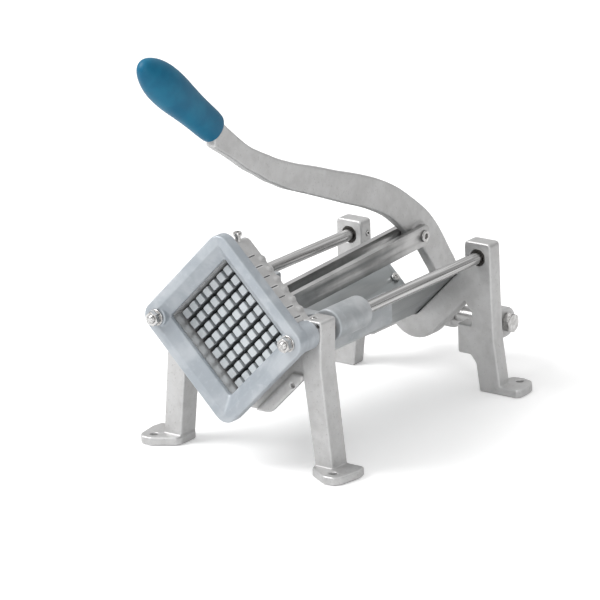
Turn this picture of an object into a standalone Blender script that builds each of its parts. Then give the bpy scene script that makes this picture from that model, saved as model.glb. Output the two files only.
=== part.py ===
"""Lever-operated potato dicer: a square blade grid on two cast frames, a pegged pusher on two guide
rods, a V trough, and a long cast lever that drives the pusher through two flat links.

Metres. X runs across (the near side is +X), Y runs from the front plate to the rear, Z is up and
Z = 0 is the table. Sizes along Y are measured from the front face of the front plate. The last step
moves the whole dicer by MIDDLE_Y, so that the origin is under the middle of its bounding box. The
grid centre, both guide rods and the front link screws lie at AXIS_Z. At rest the pusher is fully
forward, with its pegs through the blades.
"""

from math import acos, atan2, cos, pi, radians, sin, sqrt

import bmesh
import bpy
from mathutils import Matrix, Vector

OBJECT_NAME = "potato_dicer"

# Shared sizes
MIDDLE_Y = 0.1520  # from the front plate's face to the middle of the bounding box
GAP = 0.0003  # clearance between neighbouring pieces
SEAT_GAP = 0.0001  # clearance between a nut, its washer and the plate
OVER = 0.002  # overrun of a cutter past the face it opens
SINK = 0.001  # how far a joined shape reaches into its neighbour
ROUND_STEPS = 40  # sides of a large cylinder
SMALL_STEPS = 20  # sides of a screw
CORNER_STEPS = 5  # steps in a rounded corner
SPAN_STEPS = 3  # steps between two points of a curved outline
CAST_EDGE = 0.0009  # broken edge on castings
DIAMOND = radians(45)  # the grid stands on one corner

# Grid and axis
CELL = 0.0127  # one cut
CELLS = 8
AXIS_Z = 0.146
OPENING_HALF = CELL * CELLS / 2
ROD_X = 0.082
ROD_R = 0.00635
STUD_R = 0.004

# Front plate
PLATE_HALF = 0.0733
PLATE_CORNER = 0.015
PLATE_BACK = 0.014
FUNNEL_HALF = 0.0627
FUNNEL_DEPTH = 0.0093
PAD_R = 0.0102
EAR_R = 0.0148  # each side corner runs back to the front frame
WASHER_R = 0.0085
WASHER_T = 0.0016
NUT_FLATS = 0.0135
NUT_T = 0.0066
STUD_PROUD = 0.003

# Blade cassette
CASSETTE_FRONT = PLATE_BACK + GAP
CASSETTE_BACK = 0.0462
CASSETTE_HALF = 0.062
CASSETTE_CORNER = 0.008
CASSETTE_FLAT_X = 0.0748  # its side corners are cut flat beside the studs
BLADE_T = 0.0006
BLADE_DEEP = 0.0092
BLADE_EDGE = 0.0022
BLADE_END_GAP = 0.0004
FRONT_BLADE_Y = 0.0272
REAR_BLADE_Y = 0.0368
SLOT_T = BLADE_T + 2 * GAP
RIB_R = 0.0042
RIB_FRONT = 0.0385
CASSETTE_SCREW_R = 0.0032
CASSETTE_SCREW_Y = 0.0330
CASSETTE_SCREW_TOP = 0.2395
CASSETTE_SCREW_BOTTOM = 0.2240

# Front frame casting
FRAME_FRONT = 0.034
FRAME_BACK = 0.0593
FRAME_SHOULDER = CASSETTE_BACK + GAP
BAND_FRONT = 0.0385
CRADLE_HALF = CASSETTE_HALF + GAP
CRADLE_OUTER_HALF = 0.0815
CRADLE_BOTTOM = 0.0540
CRADLE_BOTTOM_R = 0.015
STRIP_HALF = 0.0735
STRIP_OUTER_HALF = 0.0869
STRIP_BACK = 0.0400
STRIP_END_X = 0.0725
STRIP_TOP = 0.1015
STRIP_EDGE = 0.0014
PASSAGE_HALF = 0.0513
TROUGH_POCKET_Y = 0.0500
FRONT_TOP = AXIS_Z + 0.0145
FRONT_TOP_CORNER = 0.003
FRONT_LEG = [(0.0735, FRONT_TOP), (0.0980, FRONT_TOP), (0.0965, 0.1300), (0.0960, 0.1120),
             (0.1073, 0.0000), (0.0857, 0.0000), (0.0720, 0.1120)]
CORNER_HOLE = (0.0930, 0.1555)
CORNER_HOLE_R = 0.0022
CORNER_HOLE_DEEP = 0.008
FRONT_FOOT = [(0.0830, 0.0330), (0.0860, 0.0275), (0.1090, 0.0140), (0.1205, 0.0145),
              (0.1265, 0.0215), (0.1306, 0.0460), (0.1280, 0.0590), (0.0830, 0.0590)]
FOOT_T = 0.009
FOOT_CORNER = 0.004
FOOT_HOLE_R = 0.00425
FRONT_FOOT_HOLE = (0.1127, 0.0262)
STRIP_HOLE = (0.0595, 0.0883)
STRIP_HOLE_R = 0.0026
STRIP_HOLE_DEEP = 0.012
SET_SCREW_R = 0.0028
FRONT_SET_SCREW_Y = 0.0435
SET_SCREW_LONG = 0.0085
SET_SCREW_PROUD = 0.0006

# Rear frame casting
REAR_FRONT = 0.3280
REAR_BACK = 0.3465
REAR_CRADLE_OUTER_HALF = 0.0811
REAR_CRADLE_TOP = AXIS_Z - 0.00875
REAR_APEX_R = 0.034
REAR_POST = [(0.0660, 0.1625), (0.0980, 0.1625), (0.0988, 0.1030), (0.1002, 0.0600),
             (0.1083, 0.0000), (0.0812, 0.0000), (0.0770, 0.0304), (0.0705, 0.0385),
             (0.0548, 0.0385), (0.0548, 0.0707), (0.0725, 0.0707), (0.0725, 0.0860),
             (0.0660, 0.0930)]
REAR_POST_CORNER = 0.004
REAR_FOOT = [(0.0812, 0.3280), (0.1275, 0.3280), (0.1310, 0.3320), (0.1310, 0.3440),
             (0.1290, 0.3560), (0.1230, 0.3640), (0.1120, 0.3670), (0.0990, 0.3650),
             (0.0920, 0.3465), (0.0812, 0.3465)]
REAR_FOOT_HOLE = (0.1137, 0.3557)
COUNTERBORE_R = 0.0090
COUNTERBORE_DEEP = 0.0060
ROD_FRONT = 0.0485
ROD_BACK = 0.3455
REAR_SET_SCREW_Z = AXIS_Z + 0.001
REAR_SET_SCREW_Y = 0.3400

# Lever pivot, on two lugs behind the rear frame
PIVOT_Y = 0.3980
PIVOT_Z = 0.0546
LUG_IN = 0.0548
LUG_OUT = 0.0700
LUG_R = 0.0161
PIVOT_R = 0.00635
BOLT_FLATS = 0.0190
BOLT_HEAD_T = 0.0080
BOLT_NUT_T = 0.0108
BOLT_PROUD = 0.0030
SPACER_R = 0.0086

# Trough
TROUGH_T = 0.003
TROUGH_FRONT = TROUGH_POCKET_Y + GAP
TROUGH_BACK = 0.3450
TROUGH_TOP_X = 0.058
TROUGH_APEX_R = 0.006
TROUGH_SCREW_X = 0.0300
TROUGH_SCREW_Y = 0.3370
TROUGH_SCREW_R = 0.0024
TROUGH_SCREW_HEAD_R = 0.0050
TROUGH_SCREW_HEAD_T = 0.0026
TROUGH_SCREW_LONG = 0.0120

# Pusher
PEG_TIP_Y = 0.0250
PEG_SIDE = 0.0088
PUSH_PLATE_FRONT = 0.0500
PUSH_PLATE_BACK = 0.0600
PUSH_PLATE_HALF = 0.0499
PUSH_PLATE_CORNER = 0.003
PUSH_RIB_BACK = 0.0720
PUSH_RIB_T = 0.0070
PUSH_RIB_HALF = 0.0420
YOKE_IN = 0.0400
YOKE_STEP = 0.0600
YOKE_BACK = 0.0760
YOKE_LOW = AXIS_Z - 0.0085
YOKE_HIGH = AXIS_Z + 0.0100
SLIDE_FRONT = 0.0660
SLIDE_BACK = 0.1200
SLIDE_R = 0.0168
BUSH_R = 0.0090
BUSH_PROUD = 0.0008
WING_IN = 0.0655
WING_OUT = 0.0742
WING_BACK = 0.1870
WING_LOW = 0.1135
WING_HIGH = AXIS_Z
WING_CORNER = 0.004
LUG_HALF_X = 0.0075
PUSH_LUG_Y = 0.0860
PUSH_LUG_R = 0.0110

# Lever and links
LEVER_T = 0.0120
LEVER_BOSS_T = 0.0150
LEVER_BACK_EDGE = [(0.0082, 0.3583), (0.0188, 0.3489), (0.0342, 0.3360), (0.0497, 0.3240),
                   (0.0656, 0.3150), (0.0816, 0.3069), (0.0977, 0.2988), (0.1303, 0.2855),
                   (0.1636, 0.2740), (0.1972, 0.2614), (0.2312, 0.2496), (0.2657, 0.2356),
                   (0.3004, 0.2171), (0.3353, 0.1920), (0.3528, 0.1771), (0.3703, 0.1567),
                   (0.3877, 0.1300), (0.3982, 0.1140), (0.4080, 0.0930), (0.4140, 0.0720)]
LEVER_FRONT_EDGE = [(0.3805, 0.0640), (0.3755, 0.0800), (0.3690, 0.0960), (0.3620, 0.1100),
                    (0.3545, 0.1205), (0.3410, 0.1395), (0.3300, 0.1500), (0.3185, 0.1610),
                    (0.3053, 0.1721), (0.2812, 0.1908), (0.2468, 0.2083), (0.2127, 0.2219),
                    (0.1790, 0.2359), (0.1458, 0.2496), (0.1129, 0.2627), (0.0968, 0.2709),
                    (0.0807, 0.2792), (0.0649, 0.2893), (0.0491, 0.2984), (0.0336, 0.3095),
                    (0.0181, 0.3205), (0.0027, 0.3304), (-0.0060, 0.3365)]
HUB_R = 0.0165
HUB_BOSS_R = 0.0140
LINK_PIN_Y = 0.3305
LINK_PIN_Z = 0.1585
LINK_BOSS_R = 0.0135
LINK_PIN_R = 0.0040
LINK_IN = LEVER_BOSS_T / 2 + 0.0004
LINK_T = 0.0063
LINK_HALF_HIGH = 0.0107
LINK_REAR_REACH = 0.0095
LINK_REAR_CORNER = 0.005
LINK_FRONT_CORNER = 0.0104
LINK_HEAD_R = 0.0063
LINK_HEAD_T = 0.0020
LINK_SOCKET_DEEP = 0.0014
SOCKET_R = 0.0026
SOCKET_DEEP = 0.0022

# Grip: stations along its axis, measured from its mouth, with the half height there
GRIP_MOUTH = (0.0009, 0.3525)
GRIP_AXIS = (-0.7693, 0.6389)
GRIP_STATIONS = [(0.0000, 0.0142), (0.0025, 0.0158), (0.0120, 0.0166), (0.0280, 0.0169),
                 (0.0450, 0.0175), (0.0630, 0.0190), (0.0800, 0.0204), (0.0950, 0.0206),
                 (0.1080, 0.0196), (0.1200, 0.0170), (0.1300, 0.0131), (0.1370, 0.0088),
                 (0.1410, 0.0045)]
GRIP_WIDTH_SHARE = 0.80
TANG_HALF = 0.0090
TANG_LONG = 0.1150
TANG_ROOT = -0.0006

ROOT2 = sqrt(2)

CAST = ((0.56, 0.57, 0.57), 0.75, 0.42)
COATED = ((0.47, 0.53, 0.56), 0.15, 0.40)
STEEL = ((0.66, 0.66, 0.67), 1.00, 0.24)
BLADE_STEEL = ((0.50, 0.51, 0.53), 1.00, 0.28)
VINYL = ((0.015, 0.150, 0.300), 0.00, 0.34)
BRONZE = ((0.42, 0.30, 0.16), 0.90, 0.38)


def clear_scene():
    for obj in list(bpy.data.objects):
        bpy.data.objects.remove(obj, do_unlink=True)
    for group in list(bpy.data.collections):
        bpy.data.collections.remove(group)


def new_collection(name):
    group = bpy.data.collections.new(name)
    bpy.context.scene.collection.children.link(group)
    return group


clear_scene()
PARTS = new_collection(OBJECT_NAME)
TOOLS = new_collection("tools")
TOOLS.hide_render = True


def polar(centre, radius, angle):
    return (centre[0] + radius * cos(angle), centre[1] + radius * sin(angle))


def circle(centre, radius, steps=ROUND_STEPS):
    return [polar(centre, radius, 2 * pi * (i + 0.5) / steps) for i in range(steps)]


def hexagon(centre, flats):
    return [polar(centre, flats / sqrt(3), pi / 3 * i) for i in range(6)]


def rounded(points, radius, steps=CORNER_STEPS):
    """The outline with each corner replaced by an arc. radius is one value, or one for each corner."""
    count = len(points)
    radii = radius if isinstance(radius, (list, tuple)) else [radius] * count
    outline = []
    for i, r in enumerate(radii):
        here = Vector(points[i])
        to_last = (Vector(points[i - 1]) - here).normalized()
        to_next = (Vector(points[(i + 1) % count]) - here).normalized()
        turn = to_last.angle(to_next)
        if r <= 0 or turn > radians(178):
            outline.append(tuple(here))
            continue
        reach = r * cos(turn / 2) / sin(turn / 2)
        middle = here + (to_last + to_next).normalized() * r / sin(turn / 2)
        first = here + to_last * reach - middle
        last = here + to_next * reach - middle
        a0 = atan2(first.y, first.x)
        sweep = atan2(last.y, last.x) - a0
        sweep = (sweep + pi) % (2 * pi) - pi
        outline += [polar(middle, r, a0 + sweep * k / steps) for k in range(steps + 1)]
    return outline


def smooth(points, steps=SPAN_STEPS):
    """A curve through the points, which keeps both ends."""
    padded = [points[0]] + list(points) + [points[-1]]
    curve = []
    for i in range(1, len(padded) - 2):
        p0, p1, p2, p3 = (Vector(p) for p in padded[i - 1:i + 3])
        for k in range(steps):
            t = k / steps
            curve.append(tuple(0.5 * (2 * p1 + (p2 - p0) * t + (2 * p0 - 5 * p1 + 4 * p2 - p3) * t ** 2
                                      + (3 * p1 - p0 - 3 * p2 + p3) * t ** 3)))
    return curve + [tuple(points[-1])]


def diamond(half, corner=0.0, flat_x=None):
    """A square stood on one corner about the push axis, with its side corners cut at flat_x."""
    reach = half * ROOT2
    if flat_x is None:
        return rounded([(reach, AXIS_Z), (0, AXIS_Z + reach), (-reach, AXIS_Z), (0, AXIS_Z - reach)], corner)
    drop = reach - flat_x
    sides = [(flat_x, AXIS_Z - drop), (flat_x, AXIS_Z + drop), (0, AXIS_Z + reach),
             (-flat_x, AXIS_Z + drop), (-flat_x, AXIS_Z - drop), (0, AXIS_Z - reach)]
    return rounded(sides, [corner / 4, corner / 4, corner, corner / 4, corner / 4, corner])


def vee(inner_half, outer_half, top_x, apex_r, inner_apex_r=0.0, top_z=None):
    """A V band under the grid, between two squares stood on one corner."""
    inner, outer = AXIS_Z - inner_half * ROOT2, AXIS_Z - outer_half * ROOT2
    if top_z is None:
        top_z = inner + top_x
    ends_in, ends_out = (top_z - inner, top_z), (top_x, outer + top_x)
    points = [ends_in, (0, inner), (-ends_in[0], top_z), (-top_x, ends_out[1]), (0, outer), ends_out]
    return rounded(points, [0, inner_apex_r, 0, 0, apex_r, 0], CORNER_STEPS * 3)


def mirrored(points):
    return [(-x, other) for x, other in reversed(points)]


def inset(outline, distance):
    """The outline moved inwards, for a broken edge."""
    area = sum(a[0] * b[1] - b[0] * a[1] for a, b in zip(outline, outline[1:] + outline[:1]))
    side = 1 if area > 0 else -1
    moved = []
    for i, here in enumerate(outline):
        before, after = Vector(outline[i - 1]), Vector(outline[(i + 1) % len(outline)])
        here = Vector(here)
        a, b = (here - before).normalized(), (after - here).normalized()
        na, nb = Vector((-a.y, a.x)) * side, Vector((-b.y, b.x)) * side
        moved.append(tuple(here + (na + nb) * distance / max(0.35, 1 + na.dot(nb))))
    return moved


def loft(name, loops):
    """A closed solid through rings of points that all have the same count."""
    mesh = bpy.data.meshes.new(name)
    form = bmesh.new()
    rings = [[form.verts.new(point) for point in loop] for loop in loops]
    for low, high in zip(rings, rings[1:]):
        for i in range(len(low)):
            j = (i + 1) % len(low)
            form.faces.new((low[i], low[j], high[j], high[i]))
    form.faces.new(rings[0])
    form.faces.new(rings[-1])
    bmesh.ops.recalc_face_normals(form, faces=form.faces)
    form.to_mesh(mesh)
    form.free()
    obj = bpy.data.objects.new(name, mesh)
    TOOLS.objects.link(obj)
    obj.hide_render = True
    obj.display_type = "WIRE"
    return obj


def plate(name, outline, low, high, axis, edge=0.0):
    """The outline drawn out along X, Y or Z from low to high, with both ends broken by edge."""
    place = {"X": lambda a, b, c: (c, a, b), "Y": lambda a, b, c: (a, c, b), "Z": lambda a, b, c: (a, b, c)}[axis]
    if edge <= 0:
        levels = [(outline, low), (outline, high)]
    else:
        small = inset(outline, edge)
        levels = [(small, low), (outline, low + edge), (outline, high - edge), (small, high)]
    return loft(name, [[place(a, b, c) for a, b in ring] for ring, c in levels])


def rod(name, axis, centre, radius, low, high, steps=SMALL_STEPS, edge=0.0):
    return plate(name, circle(centre, radius, steps), low, high, axis, edge)


def combine(obj, operation, tools):
    for other in tools:
        step = obj.modifiers.new(other.name, "BOOLEAN")
        step.operation = operation
        step.solver = "EXACT"
        step.object = other
    return obj


def join(obj, *tools):
    return combine(obj, "UNION", tools)


def cut(obj, *tools):
    return combine(obj, "DIFFERENCE", tools)


def finish(obj, name, look):
    """Makes the object a part of the dicer, with a material of its own."""
    colour, metallic, roughness = look
    TOOLS.objects.unlink(obj)
    PARTS.objects.link(obj)
    obj.name = name
    obj.data.name = name
    obj.hide_render = False
    obj.display_type = "TEXTURED"
    material = bpy.data.materials.new(name)
    material.use_nodes = True
    shader = material.node_tree.nodes["Principled BSDF"]
    shader.inputs["Base Color"].default_value = (*colour, 1.0)
    shader.inputs["Metallic"].default_value = metallic
    shader.inputs["Roughness"].default_value = roughness
    obj.data.materials.append(material)
    return obj


def empty(name, place):
    obj = bpy.data.objects.new(name, None)
    obj.location = place
    PARTS.objects.link(obj)
    return obj


def ride(parent, *children):
    """Hangs finished pieces on the empty that marks their joint, with their origins on it."""
    for child in children:
        child.data.transform(Matrix.Translation(-parent.location))
        child.parent = parent


def boxes(name, places, size, turn):
    """Equal blocks in one mesh, each turned about its own centre round the Y axis."""
    mesh = bpy.data.meshes.new(name)
    form = bmesh.new()
    for place in places:
        shift = Matrix.Translation(place) @ Matrix.Rotation(turn, 4, "Y") @ Matrix.Diagonal((*size, 1))
        bmesh.ops.create_cube(form, size=1.0, matrix=shift)
    form.to_mesh(mesh)
    form.free()
    obj = bpy.data.objects.new(name, mesh)
    TOOLS.objects.link(obj)
    obj.hide_render = True
    obj.display_type = "WIRE"
    return obj


def in_grid(across, up, y):
    """A point of the turned grid: across runs down and right, up runs up and right."""
    return Vector(((across + up) / ROOT2, y, AXIS_Z + (up - across) / ROOT2))


def bolt_head(name, side, flats, inside, high, centre):
    low, top = sorted((side * inside, side * (inside + high)))
    return plate(name, hexagon(centre, flats), low, top, "X", GAP)


SIDES = (("near", 1), ("far", -1))
LINES = [CELL * (k - CELLS / 2) for k in range(1, CELLS)]
CENTRES = [CELL * (k - (CELLS - 1) / 2) for k in range(CELLS)]


def ear_outline(side):
    """A round ear on the stud's axis, cut flat beside the cassette."""
    flat = acos((CASSETTE_FLAT_X + GAP - ROD_X) / EAR_R)
    ear = [polar((ROD_X, AXIS_Z), EAR_R, flat * (2 * k / ROUND_STEPS - 1)) for k in range(ROUND_STEPS + 1)]
    return ear if side > 0 else mirrored(ear)


def make_front_plate():
    body = plate("front_plate", diamond(PLATE_HALF, PLATE_CORNER), 0, PLATE_BACK, "Y", CAST_EDGE)
    grow = (FUNNEL_HALF - OPENING_HALF) / FUNNEL_DEPTH
    rings = [(FUNNEL_HALF + grow * OVER, -OVER), (OPENING_HALF, FUNNEL_DEPTH), (OPENING_HALF, PLATE_BACK + OVER)]
    funnel = loft("funnel", [[(x, y, z) for x, z in diamond(half, PUSH_PLATE_CORNER)] for half, y in rings])
    cut(body, funnel)
    for name, side in SIDES:
        pad = rod("pad_" + name, "Y", (side * ROD_X, AXIS_Z), PAD_R, CAST_EDGE, PLATE_BACK - CAST_EDGE, ROUND_STEPS)
        join(body, pad, plate("ear_" + name, ear_outline(side), PLATE_BACK - SINK, FRAME_FRONT - GAP, "Y", GAP))
    for name, side in SIDES:
        cut(body, rod("plate_hole_" + name, "Y", (side * ROD_X, AXIS_Z), STUD_R + GAP, -OVER, FRAME_FRONT + OVER))
    return finish(body, "front_plate", COATED)


def make_cassette():
    outline = diamond(CASSETTE_HALF, CASSETTE_CORNER, CASSETTE_FLAT_X)
    body = plate("blade_cassette", outline, CASSETTE_FRONT, CASSETTE_BACK, "Y", CAST_EDGE)
    for name, towards in (("right", 1), ("left", -1)):
        for k, along in enumerate(CENTRES[1:-1]):
            if towards > 0:
                place = in_grid(along, CASSETTE_HALF - RIB_R / 2, 0)
            else:
                place = in_grid(RIB_R / 2 - CASSETTE_HALF, along, 0)
            rib = rod(f"rib_{name}_{k}", "Y", (place.x, place.z), RIB_R, RIB_FRONT, CASSETTE_BACK, SMALL_STEPS, GAP)
            join(body, rib)
    cut(body, plate("cassette_opening", diamond(OPENING_HALF), CASSETTE_FRONT - OVER, CASSETTE_BACK + OVER, "Y"))
    long = 2 * (CASSETTE_HALF + RIB_R)
    middle_front = FRONT_BLADE_Y + BLADE_DEEP / 2
    middle_rear = REAR_BLADE_Y + BLADE_DEEP / 2
    deep = BLADE_DEEP + 2 * GAP
    slots_front = boxes("slots_front", [in_grid(s, 0, middle_front) for s in LINES], (SLOT_T, deep, long), DIAMOND)
    slots_rear = boxes("slots_rear", [in_grid(0, s, middle_rear) for s in LINES], (long, deep, SLOT_T), DIAMOND)
    hole = rod("cassette_screw_hole", "Z", (0, CASSETTE_SCREW_Y - SINK), CASSETTE_SCREW_R + GAP,
               CASSETTE_SCREW_BOTTOM - GAP, CASSETTE_SCREW_TOP + OVER)
    cut(body, slots_front, slots_rear, hole)
    finish(body, "blade_cassette", CAST)
    apex = AXIS_Z + CASSETTE_HALF * ROOT2 - CASSETTE_CORNER * (ROOT2 - 1) + GAP
    place = (0, CASSETTE_SCREW_Y - SINK)
    shank = rod("cassette_screw", "Z", place, CASSETTE_SCREW_R, CASSETTE_SCREW_BOTTOM, apex + SINK)
    head = rod("cassette_screw_head", "Z", place, CASSETTE_SCREW_R * ROOT2, apex, CASSETTE_SCREW_TOP,
               SMALL_STEPS, GAP)
    return finish(join(shank, head), "cassette_screw", STEEL)


def make_blades():
    """Seven blades in each of two layers. Each has a ground front edge."""
    half = CASSETTE_HALF - BLADE_END_GAP
    for layer, front, turn in (("front", FRONT_BLADE_Y, DIAMOND), ("rear", REAR_BLADE_Y, DIAMOND - pi / 2)):
        for k, s in enumerate(LINES):
            section = [(0, front), (BLADE_T / 2, front + BLADE_EDGE), (BLADE_T / 2, front + BLADE_DEEP),
                       (-BLADE_T / 2, front + BLADE_DEEP), (-BLADE_T / 2, front + BLADE_EDGE)]
            blade = loft(f"blade_{layer}_{k + 1}", [[(x, y, z) for x, y in section] for z in (-half, half)])
            blade.location = in_grid(s, 0, 0) if layer == "front" else in_grid(0, s, 0)
            blade.rotation_euler = (0, turn, 0)
            finish(blade, f"blade_{layer}_{k + 1}", BLADE_STEEL)


def make_front_frame():
    inner, outer = AXIS_Z - (PASSAGE_HALF - OVER) * ROOT2, AXIS_Z - CRADLE_OUTER_HALF * ROOT2
    top, flat = AXIS_Z - STUD_R, CRADLE_BOTTOM - outer
    band = [(top - inner, top), (0, inner), (inner - top, top), (-ROD_X, top), (-ROD_X, outer + ROD_X),
            (-flat, CRADLE_BOTTOM), (flat, CRADLE_BOTTOM), (ROD_X, outer + ROD_X), (ROD_X, top)]
    body = plate("front_frame", rounded(band, [0] * 5 + [CRADLE_BOTTOM_R] * 2 + [0, 0]), BAND_FRONT,
                 FRAME_BACK - GAP, "Y", CAST_EDGE)
    lip, rim = AXIS_Z - STRIP_HALF * ROOT2, AXIS_Z - STRIP_OUTER_HALF * ROOT2
    strip = [(CRADLE_BOTTOM - lip, CRADLE_BOTTOM), (CRADLE_BOTTOM - rim, CRADLE_BOTTOM),
             (STRIP_END_X, rim + STRIP_END_X), (STRIP_END_X, STRIP_TOP), (STRIP_TOP - lip, STRIP_TOP)]
    strip = rounded(strip, [0, CRADLE_BOTTOM_R, 0, FOOT_CORNER / 2, FOOT_CORNER])
    for name, side in SIDES:
        leg = rounded(FRONT_LEG, [FRONT_TOP_CORNER] * 2 + [0] * 5)
        leg = leg if side > 0 else mirrored(leg)
        foot = FRONT_FOOT if side > 0 else mirrored(FRONT_FOOT)
        raised = strip if side > 0 else mirrored(strip)
        join(body, plate("front_strip_" + name, raised, FRAME_FRONT + GAP, STRIP_BACK, "Y", STRIP_EDGE),
             plate("front_leg_" + name, leg, FRAME_FRONT, FRAME_BACK, "Y", CAST_EDGE),
             plate("front_foot_" + name, rounded(foot, FOOT_CORNER, 3), 0, FOOT_T, "Z", CAST_EDGE))
    pocket = diamond(CRADLE_HALF, CASSETTE_CORNER, CASSETTE_FLAT_X + GAP)
    cut(body, plate("cassette_pocket", pocket, FRAME_FRONT - OVER, FRAME_SHOULDER, "Y"),
        plate("passage", diamond(PASSAGE_HALF), FRAME_FRONT, FRAME_BACK + OVER, "Y"),
        plate("trough_pocket", diamond(OPENING_HALF + TROUGH_T + GAP, TROUGH_APEX_R,
                                       CASSETTE_FLAT_X - TROUGH_T), TROUGH_POCKET_Y,
              FRAME_BACK + OVER, "Y"))
    for name, side in SIDES:
        centre = (side * ROD_X, AXIS_Z)
        top = FRONT_TOP
        cut(body, rod("front_bore_" + name, "Y", centre, ROD_R + GAP, ROD_FRONT - GAP, FRAME_BACK + OVER,
                      ROUND_STEPS),
            rod("stud_bore_" + name, "Y", centre, STUD_R + GAP, FRAME_FRONT - OVER, ROD_FRONT + GAP),
            rod("corner_hole_" + name, "Y", (side * CORNER_HOLE[0], CORNER_HOLE[1]), CORNER_HOLE_R,
                FRAME_FRONT - OVER, FRAME_FRONT + CORNER_HOLE_DEEP),
            rod("front_foot_hole_" + name, "Z", (side * FRONT_FOOT_HOLE[0], FRONT_FOOT_HOLE[1]), FOOT_HOLE_R,
                -OVER, FOOT_T + OVER),
            rod("strip_hole_" + name, "Y", (side * STRIP_HOLE[0], STRIP_HOLE[1]), STRIP_HOLE_R,
                FRAME_FRONT - OVER, FRAME_FRONT + STRIP_HOLE_DEEP),
            rod("front_set_hole_" + name, "Z", (side * ROD_X, FRONT_SET_SCREW_Y), SET_SCREW_R + GAP,
                AXIS_Z, top + OVER))
        low = top + SET_SCREW_PROUD - SET_SCREW_LONG
        screw = rod("front_set_screw", "Z", (side * ROD_X, FRONT_SET_SCREW_Y), SET_SCREW_R, low,
                    top + SET_SCREW_PROUD, SMALL_STEPS, GAP)
        socket = plate("front_socket_" + name, hexagon((side * ROD_X, FRONT_SET_SCREW_Y), SET_SCREW_R),
                       top + SET_SCREW_PROUD - SOCKET_DEEP, top + OVER, "Z")
        finish(cut(screw, socket), "front_set_screw_" + name, STEEL)
    return finish(body, "front_frame", CAST)


def make_rear_frame():
    cradle_half = OPENING_HALF + TROUGH_T + GAP
    band = vee(cradle_half, REAR_CRADLE_OUTER_HALF, ROD_X, REAR_APEX_R, TROUGH_APEX_R,
               top_z=REAR_CRADLE_TOP)
    body = plate("rear_frame", band, REAR_FRONT, REAR_BACK, "Y", CAST_EDGE)
    lug_side = [(REAR_FRONT + SINK, PIVOT_Z - LUG_R), (PIVOT_Y, PIVOT_Z - LUG_R)]
    arc = [polar((PIVOT_Y, PIVOT_Z), LUG_R, pi * (k / ROUND_STEPS * 2 - 0.5)) for k in range(1, ROUND_STEPS // 2)]
    lug_side += arc + [(PIVOT_Y, PIVOT_Z + LUG_R), (REAR_FRONT + SINK, PIVOT_Z + LUG_R)]
    for name, side in SIDES:
        radii = [REAR_POST_CORNER] * 2 + [0, 0, 0, 0, 0, REAR_POST_CORNER, REAR_POST_CORNER / 2, 0, 0, 0, 0]
        post = rounded(REAR_POST, radii)
        foot = rounded(REAR_FOOT, [0] + [FOOT_CORNER / 2] * 6 + [0, 0, 0], 3)
        if side < 0:
            post, foot = mirrored(post), mirrored(foot)
        low, high = sorted((side * LUG_IN, side * LUG_OUT))
        join(body, plate("rear_post_" + name, post, REAR_FRONT, REAR_BACK, "Y", CAST_EDGE),
             plate("rear_foot_" + name, foot, 0, FOOT_T, "Z", CAST_EDGE),
             plate("pivot_lug_" + name, lug_side, low, high, "X", CAST_EDGE))
    for name, side in SIDES:
        centre = (side * ROD_X, AXIS_Z)
        inner = REAR_POST[0][0]
        cut(body, rod("rear_bore_" + name, "Y", centre, ROD_R + GAP, REAR_FRONT - OVER, REAR_BACK + OVER),
            rod("counterbore_" + name, "Y", centre, COUNTERBORE_R, REAR_FRONT - OVER,
                REAR_FRONT + COUNTERBORE_DEEP, ROUND_STEPS),
            rod("rear_foot_hole_" + name, "Z", (side * REAR_FOOT_HOLE[0], REAR_FOOT_HOLE[1]), FOOT_HOLE_R,
                -OVER, FOOT_T + OVER),
            rod("rear_set_hole_" + name, "X", (REAR_SET_SCREW_Y, REAR_SET_SCREW_Z), SET_SCREW_R + GAP,
                *sorted((side * (inner - OVER), side * ROD_X))))
        low, high = sorted((side * (inner - SET_SCREW_PROUD), side * (inner - SET_SCREW_PROUD + SET_SCREW_LONG)))
        screw = rod("rear_set_screw", "X", (REAR_SET_SCREW_Y, REAR_SET_SCREW_Z), SET_SCREW_R, low, high,
                    SMALL_STEPS, GAP)
        ends = sorted((side * (inner - OVER), side * (inner - SET_SCREW_PROUD + SOCKET_DEEP)))
        socket = plate("rear_socket_" + name, hexagon((REAR_SET_SCREW_Y, REAR_SET_SCREW_Z), SET_SCREW_R), *ends, "X")
        finish(cut(screw, socket), "rear_set_screw_" + name, STEEL)
    for name, side in SIDES:
        place, turn = trough_screw_frame(side)
        hole = rod("frame_screw_hole_" + name, "Z", (0, 0), TROUGH_SCREW_R + GAP,
                   -TROUGH_SCREW_LONG - GAP, TROUGH_T)
        hole.matrix_world = Matrix.Translation(place) @ turn
        cut(body, hole)
    for name, side in SIDES:
        low, high = sorted((side * (LUG_IN - OVER), side * (LUG_OUT + OVER)))
        cut(body, rod("pivot_bore_" + name, "X", (PIVOT_Y, PIVOT_Z), PIVOT_R + GAP, low, high, ROUND_STEPS))
    return finish(body, "rear_frame", CAST)


def trough_screw_frame(side):
    """The place of a trough screw on the inner face, and the turn that makes its axis square to it."""
    inner = AXIS_Z - OPENING_HALF * ROOT2
    place = Vector((side * TROUGH_SCREW_X, TROUGH_SCREW_Y, inner + TROUGH_SCREW_X))
    return place, Matrix.Rotation(-side * DIAMOND, 4, "Y")


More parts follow.
